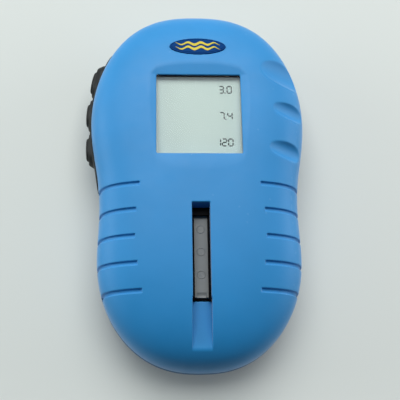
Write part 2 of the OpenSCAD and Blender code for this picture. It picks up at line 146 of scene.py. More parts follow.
def box_field(p, low, high, r=0.0):
    """Box between two corners with its edges rounded by r."""
    q = []
    for value, lo, hi in zip(p, low, high):
        q.append(np.abs(value - (lo + hi) / 2) - ((hi - lo) / 2 - r))
    outside = np.sqrt(sum(np.maximum(v, 0) ** 2 for v in q))
    inside = np.minimum(np.maximum(np.maximum(q[0], q[1]), q[2]), 0)
    return outside + inside - r


def rect_field(x, y, w, l, r):
    """Rounded rectangle about the origin, as a field over the plane."""
    qx = np.abs(x) - (w / 2 - r)
    qy = np.abs(y) - (l / 2 - r)
    outside = np.hypot(np.maximum(qx, 0), np.maximum(qy, 0))
    return outside + np.minimum(np.maximum(qx, qy), 0) - r


def rod_field(p, x, y, r):
    """Endless upright cylinder."""
    return np.hypot(p[0] - x, p[1] - y) - r


def slab_field(v, low, high):
    """Endless slab between two values of one coordinate."""
    return np.maximum(low - v, v - high)


def outline_scale(x, y):
    """How far out a point lies: 0 at the centre, 1 on the outline."""
    top = y >= 0
    n = np.where(top, CURVE_TOP, CURVE_BOT)
    reach = np.where(top, LEN_TOP, LEN_BOT)
    across = (np.abs(x) / HALF_W / waist(y)) ** n
    return (across + (np.abs(y) / reach) ** n) ** (1 / n)


def curve_field(x, y, z, base, height, up):
    """0 on the domed face of a case half, in shares of its size."""
    rise = np.maximum(up * (z - base), 0) / height
    m = CURVE_SECTION
    return (outline_scale(x, y) ** m + rise ** m) ** (1 / m) - 1


def skin_field(p, base, height, up):
    """Distance to the domed face of a case half, from its formula."""
    x, y, z = p
    step = 0.05
    here = curve_field(x, y, z, base, height, up)
    dx = curve_field(x + step, y, z, base, height, up) - here
    dy = curve_field(x, y + step, z, base, height, up) - here
    dz = curve_field(x, y, z + step, base, height, up) - here
    slope = np.sqrt(dx * dx + dy * dy + dz * dz) / step
    return here / np.maximum(slope, LEAST_SLOPE)


def upper_skin(p):
    return skin_field(p, DOME_Z, DOME_H, 1)


def lower_skin(p):
    return skin_field(p, BOWL_Z, BOWL_H, -1)


# ---- from a field to a mesh ----

CORNERS = [(i, j, k) for i in (0, 1) for j in (0, 1) for k in (0, 1)]
EDGES = [(a, b) for a in CORNERS for b in CORNERS
         if a < b and sum(abs(u - v) for u, v in zip(a, b)) == 1]
# Grid steps along a block, and how many blocks off the surface still count as near
BLOCK = 6
BLOCK_REACH = 1.5
POINTS_AT_ONCE = 400000


def sample(field, low, high, step):
    """Field values on a grid, worked out only in the blocks near the surface."""
    count = np.ceil((high - low) / step / BLOCK).astype(int)
    size = count * BLOCK
    grid = [low[i] + step * np.arange(size[i]) for i in range(3)]
    mids = [g.reshape(-1, BLOCK).mean(1) for g in grid]
    coarse = field(tuple(a.ravel() for a in np.meshgrid(*mids, indexing="ij")))
    coarse = coarse.reshape(count)
    values = np.repeat(np.repeat(np.repeat(coarse, BLOCK, 0), BLOCK, 1), BLOCK, 2)
    near = np.abs(values) < BLOCK_REACH * BLOCK * step
    i, j, k = np.nonzero(near)
    for part in np.array_split(np.arange(len(i)), max(1, len(i) // POINTS_AT_ONCE)):
        at = i[part], j[part], k[part]
        values[at] = field(tuple(g[n] for g, n in zip(grid, at)))
    return values


def net(values):
    """Vertices (in grid steps) and quads of the zero surface of grid values."""
    inside = values < 0
    n = np.array(values.shape) - 1

    def shifted(array, corner):
        return array[tuple(slice(c, c + m) for c, m in zip(corner, n))]

    hits = sum(shifted(inside, c).astype(np.int8) for c in CORNERS)
    active = (hits > 0) & (hits < len(CORNERS))
    cells = np.argwhere(active)
    index = np.full(active.shape, -1, np.int64)
    index[active] = np.arange(len(cells))
    total = np.zeros((len(cells), 3))
    crossings = np.zeros(len(cells))
    for a, b in EDGES:
        va = shifted(values, a)[active]
        vb = shifted(values, b)[active]
        crossed = (va < 0) != (vb < 0)
        t = np.where(crossed, va / np.where(crossed, va - vb, 1), 0)
        point = np.array(a) + t[:, None] * (np.array(b) - np.array(a))
        total += point * crossed[:, None]
        crossings += crossed
    points = cells + total / crossings[:, None]
    quads = []
    for axis in range(3):
        u, v = (axis + 1) % 3, (axis + 2) % 3
        a = np.moveaxis(inside, (axis, u, v), (0, 1, 2))
        ids = np.moveaxis(index, (axis, u, v), (0, 1, 2))
        change = a[:-1, 1:-1, 1:-1] != a[1:, 1:-1, 1:-1]
        i, j, k = np.nonzero(change)
        faces = np.stack([ids[i, j, k], ids[i, j + 1, k], ids[i, j + 1, k + 1],
                          ids[i, j, k + 1]], 1)
        flip = ~a[:-1, 1:-1, 1:-1][i, j, k]
        faces[flip] = faces[flip][:, ::-1]
        quads.append(faces)
    return points, np.concatenate(quads)


def slopes(field, points, step):
    """Slope of a field at points, and its unit direction."""
    parts = []
    for axis in range(3):
        shift = np.zeros(3)
        shift[axis] = step
        ahead = field(tuple((points + shift).T))
        behind = field(tuple((points - shift).T))
        parts.append(ahead - behind)
    g = np.stack(parts, 1) / (2 * step)
    return g, g / np.maximum(np.linalg.norm(g, axis=1), LEAST_LENGTH)[:, None]


def make_mesh(name, points, faces, normals):
    """Smooth-shaded piece from points in millimetres."""
    mesh = bpy.data.meshes.new(name)
    mesh.vertices.add(len(points))
    mesh.vertices.foreach_set("co", (points * MM).astype(np.float32).ravel())
    mesh.loops.add(faces.size)
    mesh.loops.foreach_set("vertex_index", faces.astype(np.int32).ravel())
    mesh.polygons.add(len(faces))
    starts = np.arange(0, faces.size, faces.shape[1], dtype=np.int32)
    mesh.polygons.foreach_set("loop_start", starts)
    mesh.update(calc_edges=True)
    mesh.validate()
    mesh.shade_smooth()
    mesh.normals_split_custom_set_from_vertices(normals)
    piece = bpy.data.objects.new(name, mesh)
    bpy.context.scene.collection.objects.link(piece)
    return piece


# Free grid steps round a piece
GRID_MARGIN = 2
# A mesh is pulled onto its surface this often, by no more than this share of a step
PULL_ROUNDS = 3
PULL_MOST = 0.4
PULL_LEAST_SLOPE = 0.3
# Share of a step over which a slope is measured, for pulling and for shading
PULL_STEP = 0.1
SHADE_STEP = 0.35


def moulded(name, field, low, high, step):
    """Mesh piece of a field's zero surface between two corners."""
    if not FINE:
        step = step * QUICK_COARSER
    low = np.array(low, float) - GRID_MARGIN * step
    high = np.array(high, float) + GRID_MARGIN * step
    points, quads = net(sample(field, low, high, step))
    points = low + step * points
    for _ in range(PULL_ROUNDS):
        slope, way = slopes(field, points, step * PULL_STEP)
        size = np.maximum(np.linalg.norm(slope, axis=1), PULL_LEAST_SLOPE)
        most = PULL_MOST * step
        move = np.clip(field(tuple(points.T)) / size, -most, most)
        points -= move[:, None] * way
    way = slopes(field, points, step * SHADE_STEP)[1]
    return make_mesh(name, points, quads, way)


# ---- features of the case ----

WINDOW_LOW, WINDOW_HIGH = box_mm("display_window")
LENS_RIM = 1.0
WINDOW_W = np.ptp([WINDOW_LOW[0], WINDOW_HIGH[0]]) - 2 * LENS_RIM
WINDOW_Y0 = WINDOW_LOW[1] + LENS_RIM
WINDOW_Y1 = WINDOW_HIGH[1] - LENS_RIM
WINDOW_Y = (WINDOW_Y0 + WINDOW_Y1) / 2
WINDOW_L = WINDOW_Y1 - WINDOW_Y0
# Height of the window's rim at its two ends, and how the dish round it rises
RIM_Z_TOP = 32.6
RIM_Z_BOT = 34.5
RISE_SIDE = 0.26
RISE_TOP = 0.16
RISE_BOT = 0.13

GUIDE_LOW, GUIDE_HIGH = box_mm("tray_guide")
TRAY_LOW, TRAY_HIGH = box_mm("strip_tray")
# Free space round a sliding or inset piece, and at the tray's outer end
SLIDE_GAP = 0.1
TRAY_END_GAP = 0.4
SLOT_Y0 = TRAY_LOW[1] - TRAY_END_GAP
SLOT_Y1 = -15.3
SLOT_FLOOR = 25
# How far the slot's wall at the display end leans in, over a height below its top
SLOT_LEAN = 0.9
LEAN_TOP = 35
LEAN_HEIGHT = 4.6
SLOT_W = 7.0
# Top of the guide beside the strip, and the black shade_hood over the reading chamber's mouth: it
# also stands in as painted shade for the dark opening between the slot's end wall and the tray
GUIDE_TOP = 29.75
SHADE_HOOD_Y0 = -19.4
SHADE_HOOD_Y1 = SLOT_Y1 - 1
SHADE_HOOD_HALF = SLOT_W / 2 - SLIDE_GAP
RAMP_Z = TRAY_LOW[2] - SLIDE_GAP
RAMP_W = SLOT_W + 0.4
# Material under the ramp and beside the slot, under the dome
RIB_HALF = 5
RIB_Y0 = -68
RIB_TOP = 40
RAMP_BLOCK_Z = 26
RAMP_BLOCK_GAP = 0.8
SLOT_WALL_END = 0.9
# Frame under the window's rim, and the pocket of the clear window
FRAME_MARGIN = 3.8
FRAME_Z = 30.7
POCKET_MARGIN = 2.2
WINDOW_CORNER = 0.6
INNER_CORNER = 1

GROOVE_Y = -7.2
GROOVE_PITCH = 10.5
GROOVE_IN = (23.5, 24.8, 25.2, 24.2, 22.4)
GROOVE_W = 1.5
GROOVE_D = 0.85

CASE_FIX = ((-21, 57), (21, 57), (-26, -49), (26, -49))
BOARD_FIX = ((-22, 46), (22, 46), (-22, -40), (22, -40))
BOSS_R = 4
BOSS_FILLET = 0.6
UPPER_BOSS_TOP = 27
LOWER_BOSS_Z = 4.4
CASE_THREAD_R = 1.45
CASE_THREAD_DEPTH = 9
CASE_SHANK_R = 1.6
CASE_HEAD_R = 2.7
CASE_HEAD_DEPTH = 8
POST_R = 2.6
POST_Z0 = 1.5
POST_Z1 = 20.4
BOARD_THREAD_R = 0.95
BOARD_THREAD_Z = 12

PAD_LOW, PAD_HIGH = box_mm("keypad_surround")
PAD_DEPTH = 1.6
PAD_OUT = 0.45
PAD_Z0 = PAD_LOW[2]
PAD_Z1 = PAD_HIGH[2]
PAD_Y0 = PAD_LOW[1]
PAD_Y1 = PAD_HIGH[1]
PAD_CORNER = 3.0
KEY_Y = 29.8
KEY_PITCH = 15.5
KEY_NAMES = {-1: "upper", 0: "middle", 1: "lower"}
KEY_X = float(half_width(KEY_Y))
# All keys press one way, so their frame is turned a little to the outline
KEY_TURN = math.radians(3.3)
KEY_STEP = 1.05
CAP_L = 9.9
CAP_H = 6.8
CAP_OUT = 2.5
COLLAR_L = 14.4
COLLAR_H = 10.4
COLLAR_OUT = 1.3
FLANGE_X = -6.0
FLANGE_T = 0.8
STEM_X = -8.4
STEM_R = 1.6
# How much larger than a cap are its flange, its hole in the rubber, its hole in the
# case and the ring groove round it
FLANGE_MARGIN = 2.4
RUBBER_MARGIN = 0.3
CASE_MARGIN = 0.4
RING_MARGIN = 1.7
RING_R = 0.4
KEY_HOLE_X = -6
# How a mound's side slopes, and the factor that makes its field a distance
MOUND_SLOPE = 0.55
MOUND_SHARE = 0.87
MOUND_FOOT = -3
# How far each key's face leans back with the flank, towards the strip end
KEY_LEAN = {-1: 0.15, 0: 0.0, 1: -0.07}


def key_frame(p, i):
    """Points in the frame of key i: out of the flank, along it, up."""
    x = p[0] + KEY_X
    y = p[1] - KEY_Y
    c, s = math.cos(KEY_TURN), math.sin(KEY_TURN)
    out = -x * c + y * s + KEY_STEP * abs(i)
    along = -x * s - y * c - i * KEY_PITCH
    return out, along, p[2] - SEAM_Z


def key_shape(along, up, l, h):
    """Long rounded outline of a key, seen from the side."""
    half = (l - h) / 2
    return np.hypot(np.maximum(np.abs(along) - half, 0), up) - h / 2


def key_bar(p, i, l, h, x0, x1, r=0.0):
    """Bar with a key's outline, between two depths of its frame."""
    out, along, up = key_frame(p, i)
    return cut(key_shape(along, up, l, h), slab_field(out, x0, x1), r)


def flank(p):
    """How far a point stands out of the left flank's outline."""
    return -p[0] - half_width(p[1])


def pad_outline(p):
    """Round-cornered outline of the key rubber, seen from the side."""
    return rect_field(p[1] - (PAD_Y0 + PAD_Y1) / 2, p[2] - (PAD_Z0 + PAD_Z1) / 2,
                      PAD_Y1 - PAD_Y0, PAD_Z1 - PAD_Z0, PAD_CORNER)


def pad_space(p, gap):
    """Hollow in the left flank that holds the key rubber."""
    space = np.maximum(pad_outline(p) - gap, p[0])
    space = np.maximum(space, -flank(p) - PAD_DEPTH - gap)
    for i in KEY_NAMES:
        space = np.minimum(space, key_bar(p, i, CAP_L + CASE_MARGIN, CAP_H + CASE_MARGIN,
                                          KEY_HOLE_X, 0))
    return space


def dish_height(x, y):
    """Height of the shallow dish that carries the window."""
    along = np.clip((y - WINDOW_Y0) / WINDOW_L, 0, 1)
    rim = RIM_Z_BOT + (RIM_Z_TOP - RIM_Z_BOT) * along
    side = np.maximum(np.abs(x) - WINDOW_W / 2, 0)
    top = np.maximum(y - WINDOW_Y1, 0)
    bottom = np.maximum(WINDOW_Y0 - y, 0)
    return rim + RISE_SIDE * side + RISE_TOP * top + RISE_BOT * bottom


def dome_height(x, y):
    """Height of the dome's face."""
    s = np.minimum(outline_scale(np.asarray(x, float), np.asarray(y, float)), 1)
    return DOME_Z + DOME_H * (1 - s ** CURVE_SECTION) ** (1 / CURVE_SECTION)


# Field value of a place far from any feature
FAR = 9.0


def groove_space(p, skin):
    """All ten grip grooves, at one depth under the skin."""
    space = np.full(p[0].shape, FAR)
    for i, inner in enumerate(GROOVE_IN):
        y = GROOVE_Y - GROOVE_PITCH * i
        width = np.abs(p[1] - y) - GROOVE_W / 2
        bar = cut(width, inner - np.abs(p[0]), 0.3)
        space = np.minimum(space, cut(bar, -skin - GROOVE_D, 0.5))
    return space


# Finger scallops: centre of the round inner end, and radius
SCALLOPS = ((32.4, 45.6, 39.25, 10.0), (33.9, 26.2, 35.5, 4.8), (31.5, 8.5, 36.35, 4.8))
SCALLOP_WALL = 1.8
SCALLOP_DIP = math.radians(33)
SCALLOP_TURN = math.radians(-9)
SCALLOP_WAY = (math.cos(SCALLOP_DIP) * math.cos(SCALLOP_TURN),
               math.cos(SCALLOP_DIP) * math.sin(SCALLOP_TURN), -math.sin(SCALLOP_DIP))


def scallop_space(p):
    """Round-ended scoops that run down and off the right shoulder."""
    space = np.full(p[0].shape, FAR)
    for x, y, z, r in SCALLOPS:
        away = (p[0] - x, p[1] - y, p[2] - z)
        along = np.maximum(sum(a * w for a, w in zip(away, SCALLOP_WAY)), 0)
        across = np.sqrt(sum((a - along * w) ** 2 for a, w in zip(away, SCALLOP_WAY)))
        space = np.minimum(space, across - r)
    return space


BADGE = centre_of("badge")
BADGE_HALF = (box_mm("badge")[1] - box_mm("badge")[0])[:2] / 2
BADGE_Z = float(dome_height(0, BADGE[1]))
BADGE_TILT = math.atan(float(dome_height(0, BADGE[1] + 1) - dome_height(0, BADGE[1] - 1)) / 2)
BADGE_WIDE = BADGE_HALF[0]
BADGE_TALL = 4.1
BADGE_DEPTH = 0.7


def badge_frame(p):
    """Points in the badge's own frame: across, along, out of the face."""
    y = p[1] - BADGE[1]
    z = p[2] - BADGE_Z
    c, s = math.cos(BADGE_TILT), math.sin(BADGE_TILT)
    return p[0], y * c + z * s, z * c - y * s


def oval_field(x, y, wide, tall):
    """Ellipse about the origin, as a field over the plane."""
    scale = np.hypot(x / wide, y / tall)
    slope = np.hypot(x / wide ** 2, y / tall ** 2) / np.maximum(scale, LEAST_SCALE)
    return (scale - 1) / np.maximum(slope, LEAST_SCALE)


def upper_case_field(p):
    """Domed half. The last number of join, cut and take is the radius of the edge."""
    x, y, z = p
    skin = upper_skin(p)
    body = cut(skin, DOME_Z - z, 0.5)
    body = np.maximum(body, -(skin + WALL))
    # Wall behind the scallops
    scoops = scallop_space(p)
    backing = np.maximum(scoops - SCALLOP_WALL, DOME_Z - z)
    body = np.minimum(body, np.maximum(backing, skin))
    # Screw bosses
    for bx, by in CASE_FIX:
        boss = np.maximum(rod_field(p, bx, by, BOSS_R),
                          slab_field(z, DOME_Z, UPPER_BOSS_TOP))
        body = join(body, boss, BOSS_FILLET)
    # Walls of the slot, floor of the ramp and frame of the window
    walls = box_field(p, (-RIB_HALF, RIB_Y0, GUIDE_TOP + SLIDE_GAP),
                      (RIB_HALF, SLOT_Y1 + SLOT_WALL_END, RIB_TOP))
    under = box_field(p, (-RIB_HALF, RIB_Y0, RAMP_BLOCK_Z),
                      (RIB_HALF, SLOT_Y0 - RAMP_BLOCK_GAP, RIB_TOP))
    rim = np.maximum(rect_field(x, y - WINDOW_Y, WINDOW_W + FRAME_MARGIN,
                                WINDOW_L + FRAME_MARGIN, INNER_CORNER), FRAME_Z - z)
    ribs = np.minimum(np.minimum(walls, under), rim)
    body = np.minimum(body, np.maximum(ribs, skin + 0.3))
    # Dish, window and the pocket of the clear window
    body = cut(body, z - dish_height(x, y), 0.35)
    window = rect_field(x, y - WINDOW_Y, WINDOW_W, WINDOW_L, WINDOW_CORNER)
    body = take(body, window, 0.35)
    pocket = np.maximum(rect_field(x, y - WINDOW_Y, WINDOW_W + POCKET_MARGIN,
                                   WINDOW_L + POCKET_MARGIN, INNER_CORNER),
                        z - WINDOW_HIGH[2])
    body = take(body, pocket)
    # Slot and ramp
    slot = np.maximum(rect_field(x, y - (SLOT_Y0 + SLOT_Y1) / 2, SLOT_W,
                                 SLOT_Y1 - SLOT_Y0, 0.4), SLOT_FLOOR - z)
    lean = SLOT_LEAN * np.clip((LEAN_TOP - z) / LEAN_HEIGHT, 0, 1)
    slot = np.maximum(slot, y - SLOT_Y1 + lean)
    ramp = cut(np.maximum(np.abs(x) - RAMP_W / 2, y - SLOT_Y0), RAMP_Z - z, 0.15)
    body = take(body, np.minimum(slot, ramp), 0.4)
    body = take(body, groove_space(p, skin), 0.35)
    body = take(body, scoops, 0.3)
    bx, by, bz = badge_frame(p)
    oval = oval_field(bx, by, BADGE_WIDE + SLIDE_GAP, BADGE_TALL + SLIDE_GAP)
    recess = np.maximum(oval, -BADGE_DEPTH - bz)
    body = take(body, recess, 0.2)
    body = take(body, pad_space(p, 0.05), 0.2)
    for bx, by in CASE_FIX:
        bore = np.maximum(rod_field(p, bx, by, CASE_THREAD_R),
                          slab_field(z, DOME_Z - 1, DOME_Z + CASE_THREAD_DEPTH))
        body = take(body, bore)
    return body


DOOR_LOW, DOOR_HIGH = box_mm("battery_door")
DOOR_T = DOOR_HIGH[2]
BAY_Y0 = -40.4
BAY_Y1 = 7.6
BAY_HALF = 11.4
BAY_WALL = 1.6
BAY_TOP = 13.3
TONGUE = 2.6
TONGUE_X = 7.0
TONGUE_HALF = 2
# Block that holds the door's tongues
HINGE_Y1 = 14.8
HINGE_TOP = 5.4
# Recess for the thumb: a sphere, by its radius and its centre from the door's edge
THUMB_R = 7
THUMB_BACK = 1.6
THUMB_BELOW = 5.2
LATCH_HALF = 4
# Places of the two contact plates at the end of the cell bay
CONTACT_X = 5.7


def lower_case_field(p):
    """Bowl with the cell bay, the door's opening, bosses and posts."""
    x, y, z = p
    skin = np.maximum(lower_skin(p), -z)
    body = cut(lower_skin(p), z - BOWL_Z, 0.5)
    body = cut(body, -z, 1.2)
    body = np.maximum(body, -(skin + WALL))
    bay = box_field(p, (-BAY_HALF - BAY_WALL, BAY_Y0 - BAY_WALL, 1),
                    (BAY_HALF + BAY_WALL, BAY_Y1 + BAY_WALL, BAY_TOP + BAY_WALL), 0.5)
    hinge = box_field(p, (-BAY_HALF, BAY_Y1, 1), (BAY_HALF, HINGE_Y1, HINGE_TOP))
    body = np.minimum(body, np.minimum(bay, hinge))
    for bx, by in CASE_FIX:
        boss = np.maximum(rod_field(p, bx, by, BOSS_R),
                          slab_field(z, LOWER_BOSS_Z, BOWL_Z))
        body = join(body, boss, BOSS_FILLET)
    for bx, by in BOARD_FIX:
        post = np.maximum(rod_field(p, bx, by, POST_R), slab_field(z, POST_Z0, POST_Z1))
        body = join(body, post, BOSS_FILLET)
    body = take(body, box_field(p, (-BAY_HALF, BAY_Y0, -1), (BAY_HALF, BAY_Y1, BAY_TOP)))
    gap = 0.12
    hinge_y = DOOR_HIGH[1] - TONGUE
    door = box_field(p, (DOOR_LOW[0] - gap, DOOR_LOW[1] + 1 - gap, -1),
                     (DOOR_HIGH[0] + gap, hinge_y + DOOR_T / 2 + gap, DOOR_T + gap), 0.5)
    notch = box_field(p, (-LATCH_HALF - 0.2, DOOR_LOW[1] - 0.2, -1),
                      (LATCH_HALF + 0.2, DOOR_LOW[1] + 2, DOOR_T + gap))
    thumb = np.sqrt(x ** 2 + (y - DOOR_LOW[1] + THUMB_BACK) ** 2
                    + (z + THUMB_BELOW) ** 2) - THUMB_R
    body = take(body, np.minimum(door, notch), 0.25)
    body = take(body, thumb, 0.5)
    for tx in (-TONGUE_X, TONGUE_X):
        body = take(body, box_field(p, (tx - TONGUE_HALF - 0.2, hinge_y - 0.9, 0.8),
                                    (tx + TONGUE_HALF + 0.2, hinge_y + 3.4, 4)))
    for cx in (-CONTACT_X, CONTACT_X):
        body = take(body, box_field(p, (cx - 1.3, BAY_Y1 - 0.5, BAY_TOP - 1),
                                    (cx + 1.3, BAY_Y1, BAY_TOP + 4)))
    body = take(body, pad_space(p, 0.05), 0.2)
    for bx, by in CASE_FIX:
        head = np.maximum(rod_field(p, bx, by, CASE_HEAD_R), z - CASE_HEAD_DEPTH)
        body = take(body, head, 0.4)
        body = take(body, np.maximum(rod_field(p, bx, by, CASE_SHANK_R), 5 - z))
    for bx, by in BOARD_FIX:
        body = take(body, np.maximum(rod_field(p, bx, by, BOARD_THREAD_R),
                                     BOARD_THREAD_Z - z))
    return body


def keypad_field(p):
    """Rubber surround of the keys: a rounded band with three ringed mounds."""
    stand = flank(p)
    band = cut(stand - PAD_OUT, pad_outline(p), 0.8)
    for i in KEY_NAMES:
        out, along, up = key_frame(p, i)
        height = out - KEY_LEAN[i] * along
        mound = key_shape(along, up, COLLAR_L, COLLAR_H) + MOUND_SLOPE * np.maximum(height, -1)
        mound = cut(mound * MOUND_SHARE, slab_field(height, MOUND_FOOT, COLLAR_OUT), 0.7)
        ring = np.hypot(key_shape(along, up, CAP_L + RING_MARGIN, CAP_H + RING_MARGIN),
                        height - COLLAR_OUT)
        band = join(band, take(mound, ring - RING_R, 0.15), 0.5)
    band = np.maximum(band, -stand - PAD_DEPTH)
    for i in KEY_NAMES:
        hole = key_bar(p, i, CAP_L + RUBBER_MARGIN, CAP_H + RUBBER_MARGIN, -FAR, FAR)
        band = take(band, hole, 0.3)
    return band


def cap_field(i):
    """A rubber cap with a soft crown, a flange and a stem."""
    def field(p):
        out, along, up = key_frame(p, i)
        crown = 0.35 * np.clip(along ** 2 / 25 + up ** 2 / 12, 0, 1.5)
        face = np.maximum(out - KEY_LEAN[i] * along + crown - CAP_OUT, FLANGE_X - out)
        cap = cut(key_shape(along, up, CAP_L, CAP_H), face, 1.0)
        flange = key_bar(p, i, CAP_L + FLANGE_MARGIN, CAP_H + FLANGE_MARGIN,
                         FLANGE_X - FLANGE_T, FLANGE_X, 0.3)
        flat = out - KEY_STEP * abs(i)
        stem = np.maximum(np.hypot(along, up) - STEM_R, slab_field(flat, STEM_X, FLANGE_X))
        return np.minimum(np.minimum(cap, flange), stem)
    return field


# Places of the three raised rings, and their size
TRAY_MARKS = (-24.5, -33.5, -42.5)
MARK_R = 1.5
MARK_WIRE = 0.16
# Half widths of the guide's track and of its strip channel
TRACK_HALF = 3.3
CHANNEL_HALF = 2.6


def tray_field(p):
    """Flat tray with a finger dip at its outer end."""
    x, y, z = p
    low, high = TRAY_LOW, TRAY_HIGH
    tray = box_field(p, low, high, 0.12)
    dip = np.hypot(y - low[1] - 0.8, z - high[2] - 2.2) - 2.5
    tray = take(tray, np.maximum(dip, np.abs(x) - 1.8), 0.1)
    # Raised rings that mark where the strip's pads lie
    for my in TRAY_MARKS:
        mark = np.hypot(np.hypot(x, y - my) - MARK_R, z - high[2]) - MARK_WIRE
        tray = join(tray, mark, 0.08)
    return tray


def guide_field(p):
    """Rail under the tray, with a black cover over the reading chamber's mouth that also stands in
    as painted shade for the dark opening there.
    """
    x, y, z = p
    body = box_field(p, GUIDE_LOW, (GUIDE_HIGH[0], GUIDE_HIGH[1], GUIDE_TOP), 0.1)
    track = np.maximum(np.abs(x) - TRACK_HALF,
                       slab_field(z, RAMP_Z, TRAY_HIGH[2] + SLIDE_GAP))
    strip = np.maximum(np.abs(x) - CHANNEL_HALF, RAMP_Z - z)
    inner = np.minimum(track, strip)
    body = take(body, np.maximum(inner, y - 0.6), 0.15)
    under = box_field(p, (GUIDE_LOW[0] + 1.4, GUIDE_LOW[1] + 1.6, 0),
                      (GUIDE_HIGH[0] - 1.4, 0.4, 26.5))
    # The black block over the chamber's mouth is painted shade: it fills the dark opening under
    # the slot's end wall.
    shade_hood = box_field(p, (-SHADE_HOOD_HALF, SHADE_HOOD_Y0, GUIDE_TOP - 0.02),
                     (SHADE_HOOD_HALF, SHADE_HOOD_Y1, GUIDE_HIGH[2]), 0.15)
    return np.minimum(take(body, under), shade_hood)


RIB_COUNT = 5
RIB_PITCH = 1.8
RIB_START = 4.5
RIB_LONGEST = 6.5
RIB_SHORTER = 0.9


def door_field(p):
    """Plate with a round edge to turn on, two tongues, a latch and thumb ribs."""
    x, y, z = p
    hinge_y = DOOR_HIGH[1] - TONGUE
    plate = box_field(p, (DOOR_LOW[0], DOOR_LOW[1] + 1, 0), (DOOR_HIGH[0], hinge_y, DOOR_T), 0.35)
    knuckle = np.maximum(np.hypot(y - hinge_y, z - DOOR_T / 2) - DOOR_T / 2,
                         np.abs(x) - DOOR_HIGH[0])
    latch = box_field(p, (-LATCH_HALF, DOOR_LOW[1], 0.3),
                      (LATCH_HALF, DOOR_LOW[1] + 3, DOOR_T), 0.2)
    door = np.minimum(np.minimum(plate, knuckle), latch)
    # Thumb ribs across the latch end
    for k in range(RIB_COUNT):
        rib_y = DOOR_LOW[1] + RIB_START + RIB_PITCH * k
        half = RIB_LONGEST - RIB_SHORTER * abs(k - RIB_COUNT // 2)
        dent = cut(np.hypot(y - rib_y, z) - 0.55, np.abs(x) - half, 0.3)
        door = take(door, dent, 0.2)
    for tx in (-TONGUE_X, TONGUE_X):
        door = np.minimum(door, box_field(p, (tx - TONGUE_HALF, hinge_y, DOOR_T / 2),
                                          (tx + TONGUE_HALF, DOOR_HIGH[1], DOOR_T), 0.1))
    return door


# ---- materials ----

def new_material(name):
    """Empty node material: (material, nodes, a function that links sockets)."""
    material = bpy.data.materials.new(name)
    material.use_nodes = True
    tree = material.node_tree
    tree.nodes.clear()
    return material, tree.nodes, tree.links.new


def place(nodes, link, scale, offset=(0, 0, 0)):
    """Object coordinates, so that grain sizes are in real lengths."""
    coords = nodes.new("ShaderNodeTexCoord")
    mapping = nodes.new("ShaderNodeMapping")
    mapping.inputs["Scale"].default_value = (scale,) * 3 if np.isscalar(scale) else scale
    mapping.inputs["Location"].default_value = offset
    link(coords.outputs["Object"], mapping.inputs["Vector"])
    return mapping.outputs["Vector"]


def noise(nodes, link, vector, scale, detail=3.0, rough=0.5):
    texture = nodes.new("ShaderNodeTexNoise")
    texture.inputs["Scale"].default_value = scale
    texture.inputs["Detail"].default_value = detail
    texture.inputs["Roughness"].default_value = rough
    link(vector, texture.inputs["Vector"])
    return texture.outputs["Fac"]


def spread(nodes, link, value, low, high, out_low, out_high):
    """Maps a value from one range to another, clamped."""
    node = nodes.new("ShaderNodeMapRange")
    for socket, number in (("From Min", low), ("From Max", high),
                           ("To Min", out_low), ("To Max", out_high)):
        node.inputs[socket].default_value = number
    link(value, node.inputs["Value"])
    return node.outputs["Result"]


def blend_colours(nodes, link, share, a, b):
    node = nodes.new("ShaderNodeMix")
    node.data_type = "RGBA"
    for socket, colour in ((node.inputs[6], a), (node.inputs[7], b)):
        if isinstance(colour, tuple):
            socket.default_value = (*colour, 1)
        else:
            link(colour, socket)
    link(share, node.inputs[0])
    return node.outputs[2]


def bump(nodes, link, height, distance, strength=1.0, under=None):
    node = nodes.new("ShaderNodeBump")
    node.inputs["Distance"].default_value = distance * MM
    node.inputs["Strength"].default_value = strength
    link(height, node.inputs["Height"])
    if under is not None:
        link(under, node.inputs["Normal"])
    return node.outputs["Normal"]


def surface(name, colour, rough, grain=0.5, grain_depth=0.01, vary=0.06, metal=0.0,
            wear=0.0, worn=(0.8, 0.8, 0.8), coat=0.0, specular=0.5, mottle=0.035,
            glow=(0.0, 0.0, 0.0), sheen=0.0):
    """Moulded or finished surface.

    grain is the size of its fine texture in millimetres and grain_depth its depth,
    vary the spread of its roughness, mottle the spread of its colour, and wear how
    far its edges are rubbed towards the worn colour. glow is light of its own.
    """
    material, nodes, link = new_material(name)
    shader = nodes.new("ShaderNodeBsdfPrincipled")
    output = nodes.new("ShaderNodeOutputMaterial")
    link(shader.outputs[0], output.inputs[0])
    vector = place(nodes, link, 1 / MM)
    broad = noise(nodes, link, vector, 0.045, 3)
    fine = noise(nodes, link, vector, 1 / grain, 4, 0.6)
    smudge = noise(nodes, link, vector, 0.16, 5, 0.62)
    dark = tuple(c * (1 - mottle * 2) for c in colour)
    light = tuple(min(1, c * (1 + mottle * 2)) for c in colour)
    tint = blend_colours(nodes, link, spread(nodes, link, broad, 0.3, 0.7, 0, 1), dark, light)
    if wear > 0:
        geometry = nodes.new("ShaderNodeNewGeometry")
        edge = spread(nodes, link, geometry.outputs["Pointiness"], 0.53, 0.62, 0, wear)
        patchy = nodes.new("ShaderNodeMath")
        patchy.operation = "MULTIPLY"
        link(edge, patchy.inputs[0])
        link(smudge, patchy.inputs[1])
        tint = blend_colours(nodes, link, patchy.outputs[0], tint, worn)
    link(tint, shader.inputs["Base Color"])
    roughness = spread(nodes, link, smudge, 0.3, 0.7, max(rough - vary, 0.02), rough + vary)
    link(roughness, shader.inputs["Roughness"])
    normal = bump(nodes, link, fine, grain_depth)
    link(normal, shader.inputs["Normal"])
    shader.inputs["Metallic"].default_value = metal
    shader.inputs["Specular IOR Level"].default_value = specular
    shader.inputs["Emission Color"].default_value = (*glow, 1)
    shader.inputs["Emission Strength"].default_value = 1.0 if any(glow) else 0.0
    shader.inputs["Coat Weight"].default_value = coat
    shader.inputs["Coat Roughness"].default_value = 0.12
    shader.inputs["Sheen Weight"].default_value = sheen
    shader.inputs["Sheen Roughness"].default_value = 0.35
    return material


